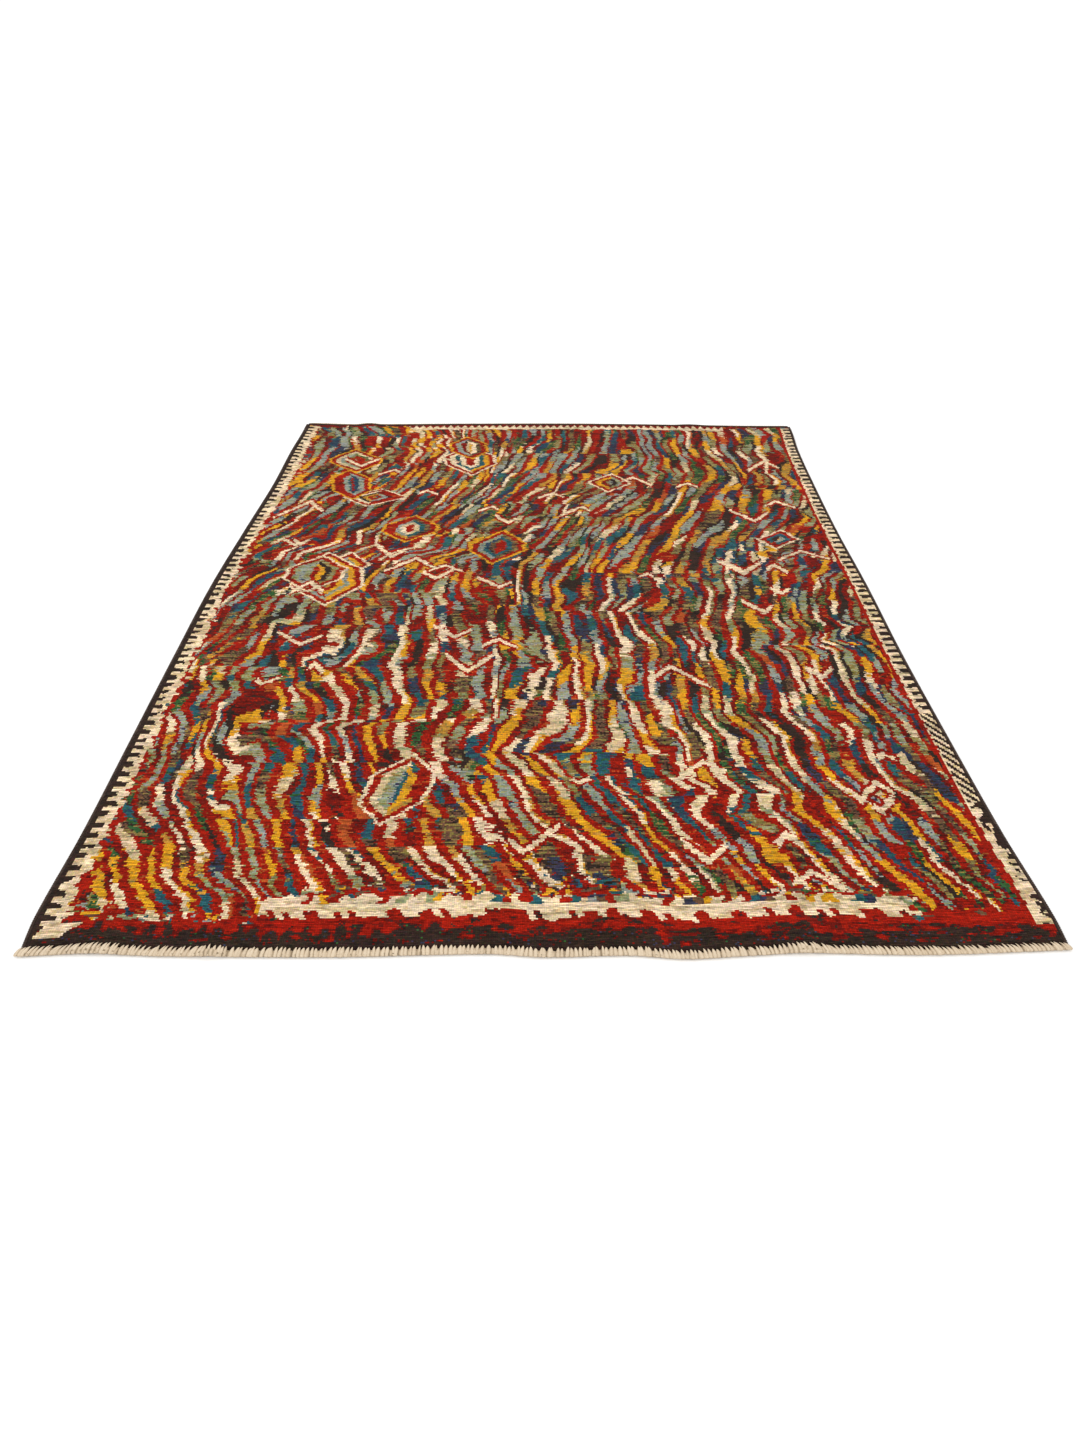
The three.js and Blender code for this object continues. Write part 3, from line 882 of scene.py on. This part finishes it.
def knottedPile():
    # a grid with a point at each third knot, closer at the rim, for the top and the underside
    count = pileFinish.knotsPerFace
    cells = []
    for knots in (rug.knotsAcross, rug.knotsAlong):
        rim = np.array(pile.rimKnots)
        cells.append(np.concatenate([rim, np.arange(count, knots, count), knots - rim[::-1]]))
    across, along = np.meshgrid(*cells)
    acrossShare, alongShare = across / rug.knotsAcross, along / rug.knotsAlong
    rows, columns = across.shape
    total = rows * columns
    above = gridQuads(rows, columns)
    below = gridQuads(rows, columns, total)[:, ::-1]
    index = np.arange(total).reshape(rows, columns)
    ring = np.concatenate([index[0, :-1], index[:-1, -1], index[-1, :0:-1], index[:0:-1, 0]])
    after = np.roll(ring, -1)
    wall = np.stack([ring + total, after + total, after, ring], -1)
    quads = np.concatenate([above, below, wall])
    flat = np.stack([acrossShare.ravel() * rug.width, alongShare.ravel() * rug.length], -1)
    bake = pileBake(np.concatenate([flat, flat]), above, below, len(ring))
    piece = surface("knotted_pile", pilePoints(acrossShare, alongShare), [quads], {"OFBake": bake})
    knots = np.stack([across.ravel(), along.ravel(), np.zeros(total)], -1)
    knots = np.concatenate([knots, knots + (0, 0, pile.underWeave)])
    store(piece, "weave", knots)

    # digits of the three by three knots of each block, one row of knots to each number
    blocks = chart.reshape(rug.knotsAlong // count, count, rug.knotsAcross // count, count)
    packed = (blocks * len(yarns) ** np.arange(count)).sum(3).transpose(0, 2, 1)
    middle = knots[quads].mean(1)
    inset = 0.01
    row = (np.clip(middle[:, 1], inset, rug.knotsAlong - inset) // count).astype(int)
    column = (np.clip(middle[:, 0], inset, rug.knotsAcross - inset) // count).astype(int)
    store(piece, "knotYarns", packed[row, column], "FACE")
    piece.data.materials.append(pileMaterial())
    return piece


pilePiece = knottedPile()
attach(pilePiece, "root")
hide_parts("knotted_body")
report("pile made")


sides = Choices(
    wrapPitch=0.0058, ringsPerWrap=3, corners=9, slant=0.5, groove=0.16, endInset=0.001,
    squareness=0.75, colour="4A3C35", lightColour="7A6A5C", darkColour="2C221E", plainAt=0.5,
    wrapTone=0.34, fibreTone=0.45, batchTone=0.8, toneFrom=-0.42,
    batch=((0.045, 0.0, 0.0), 3.0), fibre=((3.0, 22.0, 1.0), 3.0, 0.6), relief=0.0006,
    roughness=0.9,
)


def woundWoolMaterial():
    # wool wound round the edge cords: tone changes by wrap, by batch and by fibre
    n = Nodes("overcastWool")
    turns = n.add("Attribute", attribute_name="turns", output=1)
    wrap = n.add("TexWhiteNoise", n.add("VectorMath", turns, operation="FLOOR"))
    batch = n.noise(turns, *sides.batch)[0]
    fibre = n.noise(turns, *sides.fibre)[0]
    share = n.weighted(batch, sides.batchTone, sides.toneFrom)
    share = n.weighted(wrap, sides.wrapTone, n.weighted(fibre, sides.fibreTone, share))
    n.bumped(fibre, 0.8, sides.relief)
    return woolShades(n, sides, share)


def overcastSide(name, acrossShare, outward, material):
    # a round-cornered cord beside the rim, closed by fans round its last two points; its radius falls
    # by the groove between two wraps as |cos(pi * turns)| ** 4, and the wraps slant by a part of a
    # turn round the cord
    wraps = int(rug.length / sides.wrapPitch)
    along = np.linspace(0, 1, wraps * sides.ringsPerWrap + 1)
    x, y = floorPlace(np.full(along.shape, acrossShare), along)
    y = np.clip(y, y[0] + sides.endInset, y[-1] - sides.endInset)
    rings, columns = len(along), sides.corners
    corner = np.arange(columns) / columns
    around, upward = np.cos(2 * np.pi * corner), np.sin(2 * np.pi * corner)
    turns = along[:, None] * wraps + sides.slant * around[None, :]
    size = 1 - sides.groove * np.abs(np.cos(np.pi * turns)) ** 4
    out, up = [np.sign(part) * np.abs(part) ** sides.squareness for part in (around, upward)]
    halfWidth, halfHeight = 0.5 * fit.sideWidth, 0.5 * fit.sideHeight
    px = x[:, None] + outward * (fit.gap + halfWidth * (1 + out[None, :] * size))
    pz = np.maximum(halfHeight * (1 + up[None, :] * size), 0)
    py = np.repeat(y[:, None], columns, 1)
    points = np.stack([px + moveAcross, py + moveAlong, pz], -1).reshape(-1, 3)
    total = len(points)
    middle = outward * (fit.gap + halfWidth)
    tips = [[x[end] + middle + moveAcross, y[end] + moveAlong, halfHeight] for end in (0, -1)]
    ring = np.arange(columns)
    following = (ring + 1) % columns
    nearFan = np.stack([following, ring, np.full(columns, total)], -1)
    farFan = np.stack([ring, following, np.full(columns, total + 1)], -1)
    farFan[:, :2] += (rings - 1) * columns
    groups = [tubeQuads(rings, columns), np.concatenate([nearFan, farFan])]
    if outward > 0:
        groups = [faces[:, ::-1] for faces in groups]
    piece = surface(name, np.concatenate([points, tips]), groups)
    stored = np.zeros((total + 2, 3))
    stored[:total, 0] = turns.ravel()
    stored[:total, 1] = np.tile(corner, rings)
    store(piece, "turns", stored)
    piece.data.materials.append(material)
    return piece


woundWool = woundWoolMaterial()
leftSide = overcastSide("overcast_left", 0.0, -1, woundWool)
rightSide = overcastSide("overcast_right", 1.0, 1, woundWool)
for piece, node in ((leftSide, "selvedge_left"), (rightSide, "selvedge_right")):
    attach(piece, "root")
    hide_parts(node)
report("sides overcast")


fringe = Choices(
    tufts=237, halfWidth=0.0046, halfHeight=0.0021, reach=0.0016, reachStray=0.0022,
    corners=6, stray=0.0014, placeStray=0.17, sizeStray=0.13, puckerLean=-0.004,
    leanPower=1.3, leanFrom=0.35, liftFrom=0.35, pastEnd=0.002, footHeight=0.0004,
    coreRings=3, coreCorners=8, coreHeight=0.0092, coreWidth=0.0148, coreStray=0.05,
    coreOverlap=0.0006, taperRings=4, taper=0.45, strand=0.0211, strandLean=0.7,
    farHeight=0.7, farReach=-0.0022,  # the far plait lies behind the pile
    inset=dict(near=(0.004, 0.005), far=(0.0235, 0.0185)), seed=dict(near=3, far=4),
    colour="CDB79A", darkColour="75634C", lightColour="E8D6BC", plainAt=0.45,
    fibre=((7.0, 1.6, 9.0), 3.0, 0.6), fibreTone=0.5, tuftTone=0.26, toneFrom=-0.02,
    # on the next line, the third setting is the painted shade on a tuft's two sides and the painted light
    # on its top and underside
    twist=(2.0, 2.4), twistTone=0.42, edgeTone=-0.17, twistRelief=0.6, relief=0.0007,
    roughness=0.88,
)
# how wide the plait lies, at places across the rug
widthLine = np.array([(-1.03, 1.0), (-0.6, 0.97), (-0.2, 0.9), (0.3, 0.86), (0.7, 0.74), (1.04, 0.58)])
# sideways lean of the tufts' points, at places across the rug
leanLine = np.array([
    (-1.02, 0.013), (-0.8, 0.011), (-0.6, 0.006), (-0.35, 0.002), (-0.05, 0.001), (0.12, -0.002),
    (0.3, -0.006), (0.5, -0.009), (0.7, -0.011), (1.04, -0.014),
])
# middle line of a tuft: inwards from the edge of the pile, up, and size
tuftLine = np.array([
    (-0.014, 0.003, 0.8), (-0.0132, 0.005, 0.96), (-0.0112, 0.0068, 1.00), (-0.0088, 0.008, 0.98),
    (-0.0064, 0.0094, 0.92), (-0.004, 0.0109, 0.76), (-0.0018, 0.012, 0.55), (0.0002, 0.0126, 0.34),
    (0.0018, 0.0127, 0.12),
])


def warpWoolMaterial():
    # cream warp yarn: twist as slanted stripes round each tuft, sin(2 pi * (a * round + b * along)),
    # painted shade on its two sides and painted light on its top and underside by cos(4 pi * round),
    # and each tuft with its own tone
    n = Nodes("warpWool")
    yarn = n.add("Attribute", attribute_name="yarnPlace", output=1)
    place = n.split(yarn)
    fibre = n.noise(yarn, *fringe.fibre)[0]
    turns = n.weighted(place[0], fringe.twist[0], n.math("MULTIPLY", place[1], fringe.twist[1]))
    wave = n.math("SINE", n.math("MULTIPLY", turns, 2 * np.pi))
    twist = n.weighted(wave, 0.5, 0.5)
    tuftTone = n.add("TexWhiteNoise", n.add("CombineXYZ", 0.0, 0.0, n.math("FLOOR", place[2])))
    share = n.weighted(tuftTone, fringe.tuftTone, fringe.toneFrom)
    share = n.weighted(twist, fringe.twistTone, n.weighted(fibre, fringe.fibreTone, share))
    # painted shade and light: 1 on a tuft's two sides and -1 on its top and underside, so the sides are
    # painted darker and the top and underside lighter
    edge = n.math("COSINE", n.math("MULTIPLY", place[0], 4 * np.pi))
    share = n.weighted(edge, fringe.edgeTone, share)
    n.bumped(n.weighted(twist, fringe.twistRelief, fibre), 0.7, fringe.relief)
    return woolShades(n, fringe, share)


def plaitTufts(rim, first, last, end, rngEnd):
    # an oval carried along the middle line, square to its slope, leaning sideways with share ** power;
    # gives the points, the arrays of faces and each point's place on its yarn
    outward = -1 if end == "near" else 1
    count = fringe.tufts
    pitch = (last - first) / count
    centre = first + (np.arange(count) + 0.5) * pitch + rngEnd.normal(0, fringe.placeStray * pitch, count)
    foot = np.interp(centre, *rim)
    lift = liftAt(centre, foot)
    lean = lineAt(leanLine, 1, centre) + rngEnd.normal(0, fringe.stray, count)
    for pucker in puckers:
        share = (centre - pucker.across) / pucker.halfWidth
        if pucker.end == end:
            lean += np.where(np.abs(share) < 1, fringe.puckerLean * share, 0)
    longer = rngEnd.uniform(-1, 1, count) * fringe.reachStray
    size = 1 + rngEnd.normal(0, fringe.sizeStray, count)
    lineIn, lineUp, lineSize = tuftLine.T
    share = np.linspace(0, 1, len(tuftLine))
    inward = lineIn * np.where(lineIn < 0, lineAt(widthLine, 1, centre)[:, None], 1)
    inward = inward + longer[:, None] * np.clip(2 * share - 1, 0, 1)
    if end == "far":
        inward = np.minimum(inward, fringe.farReach)
    tall = fringe.farHeight if end == "far" else 1
    up = tall * lineUp[None, :] + lift[:, None] * np.clip(fringe.liftFrom + share, 0, 1)
    middle = centre[:, None] + lean[:, None] * (share ** fringe.leanPower - fringe.leanFrom)
    middle = np.clip(middle, first - fringe.pastEnd, last + fringe.pastEnd)
    slopeUp, slopeIn = np.gradient(lineUp), np.gradient(lineIn)
    length = np.hypot(slopeUp, slopeIn)
    corners, rings = fringe.corners, len(tuftLine)
    angle = np.arange(corners) / corners * 2 * np.pi
    wide = fringe.halfWidth * size[:, None] * lineSize
    high = fringe.halfHeight * size[:, None] * lineSize
    px = middle[..., None] + wide[..., None] * np.cos(angle)
    pIn = inward[..., None] + (high * -slopeUp / length)[..., None] * np.sin(angle)
    pz = up[..., None] + (high * slopeIn / length)[..., None] * np.sin(angle)
    py = foot[:, None, None] - outward * pIn
    points = np.stack([px + moveAcross, py + moveAlong, np.maximum(pz, fringe.footHeight)], -1)
    begin = np.arange(count)[:, None] * rings * corners
    quads = (tubeQuads(rings, corners)[None] + begin[..., None]).reshape(-1, 4)
    feet = begin + np.arange(corners)[::-1]
    tips = begin + (rings - 1) * corners + np.arange(corners)
    yarn = np.stack(np.broadcast_arrays(
        np.arange(corners)[None, None, :] / corners,
        share[None, :, None] * 4,
        np.arange(count)[:, None, None] + 0.5), -1)
    return points.reshape(-1, 3), [quads, feet, tips], yarn.reshape(-1, 3)


def plaitCore(rim, first, last, end, start, rngEnd):
    # a low cord under the tufts, along the edge of the pile: (1 + cos, 1 + sin) of the angle times its
    # half width and half height, smaller towards its two ends; gives the same three as the tufts
    outward = -1 if end == "near" else 1
    count, corners = fringe.coreRings * fringe.tufts, fringe.coreCorners
    x = np.linspace(first, last, count)
    y = np.interp(x, *rim)
    angle = (np.arange(corners) / corners - 0.25) * 2 * np.pi
    ring = np.arange(count)
    taper = np.clip(np.minimum(ring, ring[::-1]) / fringe.taperRings, fringe.taper, 1)
    rough = 1 + rngEnd.normal(0, fringe.coreStray, (count, corners))
    halfWide = (0.5 * fringe.coreWidth * taper * lineAt(widthLine, 1, x))[:, None]
    halfHigh = (0.5 * (fringe.coreHeight + liftAt(x, y)) * taper)[:, None]
    away = fit.gap - fringe.coreOverlap + halfWide * (1 + rough * np.cos(angle))
    py = y[:, None] + outward * away
    pz = np.maximum(halfHigh * (1 + rough * np.sin(angle)), 0)
    points = np.stack(np.broadcast_arrays(x[:, None] + moveAcross, py + moveAlong, pz), -1)
    quads = np.roll(tubeQuads(count, corners, start), -1, axis=1)
    caps = start + np.stack([np.arange(corners), (count - 1) * corners + np.arange(corners)[::-1]])
    sideways = fringe.strandLean * lineAt(leanLine, 1, x)[:, None] * np.arange(corners) / 4
    strand = (x[:, None] - sideways) / fringe.strand
    tuft = np.floor(x / ((last - first) / fringe.tufts))[:, None]
    # the core's place round its yarn stays 0, so the warp wool paints the whole core in the full painted
    # side shade
    yarn = np.stack(np.broadcast_arrays(np.zeros((1, corners)), strand, tuft), -1)
    return points.reshape(-1, 3), [quads, caps], yarn.reshape(-1, 3)


def plaitedEnd(name, end, material):
    # the tufts and the core under them, as one piece
    rngEnd = np.random.default_rng(rug.seed + fringe.seed[end])
    samples = 800
    rim = floorPlace(np.linspace(0, 1, samples), np.full(samples, 0.0 if end == "near" else 1.0))
    left, right = fringe.inset[end]
    first = rim[0][0] - fit.sideWidth - fit.overhangLeft + left
    last = rim[0][-1] + fit.sideWidth + fit.overhangRight - right
    points, groups, yarn = plaitTufts(rim, first, last, end, rngEnd)
    corePoints, coreGroups, coreYarn = plaitCore(rim, first, last, end, len(points), rngEnd)
    groups = groups + coreGroups
    if end == "far":
        groups = [faces[:, ::-1] for faces in groups]
    piece = surface(name, np.concatenate([points, corePoints]), groups)
    store(piece, "yarnPlace", np.concatenate([yarn, coreYarn]))
    piece.data.materials.append(material)
    return piece


warpWool = warpWoolMaterial()
nearPlait = plaitedEnd("plait_near_locks", "near", warpWool)
farPlait = plaitedEnd("plait_far_locks", "far", warpWool)
for piece, node in ((nearPlait, "plait_near"), (farPlait, "plait_far")):
    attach(piece, "root")
    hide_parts(node)
report("ends plaited")


room = Choices(
    floor=12.0, colour="FBFBFA", white=(1.0, 1.0, 1.0, 1.0), grain=(3.0, 2.0), grainShare=0.3,
    roughness=0.7, shine=0.2, sky=1.08,
)
# place, size and power of each light; both face the middle of the floor
lights = dict(
    keyLight=((-2.6, 1.2, 3.6), 3.0, 42.0),
    fillLight=((2.8, -1.8, 3.4), 3.0, 12.0),
)


def paleFloor():
    # one flat square, white with a faint grain
    half = 0.5 * room.floor
    corners = np.array([(-half, -half, 0), (half, -half, 0), (half, half, 0), (-half, half, 0)])
    piece = surface("floor", corners, [np.array([[0, 1, 2, 3]])])
    n = Nodes("paleFloor")
    grain = n.noise(n.add("TexCoord", output=3), *room.grain)[0]
    share = n.math("MULTIPLY", grain, room.grainShare)
    colour = n.mixed("MIX", share, linear(room.colour), room.white)
    piece.data.materials.append(n.finish(
        Base_Color=colour, Roughness=room.roughness, Specular_IOR_Level=room.shine))


def softLight(name, place, size, power):
    # a square light, tilted by the angle of its place from straight up and turned towards the middle
    light = bpy.data.lights.new(name, "AREA")
    light.shape = "RECTANGLE"
    light.size = light.size_y = size
    light.energy = power
    lamp = placed(name, light)
    lamp.location = place
    x, y, z = place
    lamp.rotation_euler = (np.arctan2(np.hypot(x, y), z), 0, np.arctan2(x, -y))


paleFloor()
for name, (place, size, power) in lights.items():
    softLight(name, place, size, power)
world = bpy.data.worlds.new("paleRoom")
world.use_nodes = True
world.node_tree.nodes["Background"].inputs[0].default_value = room.white
world.node_tree.nodes["Background"].inputs[1].default_value = room.sky
bpy.context.scene.world = world
bpy.context.scene.view_settings.view_transform = "Standard"
report("floor and light set")
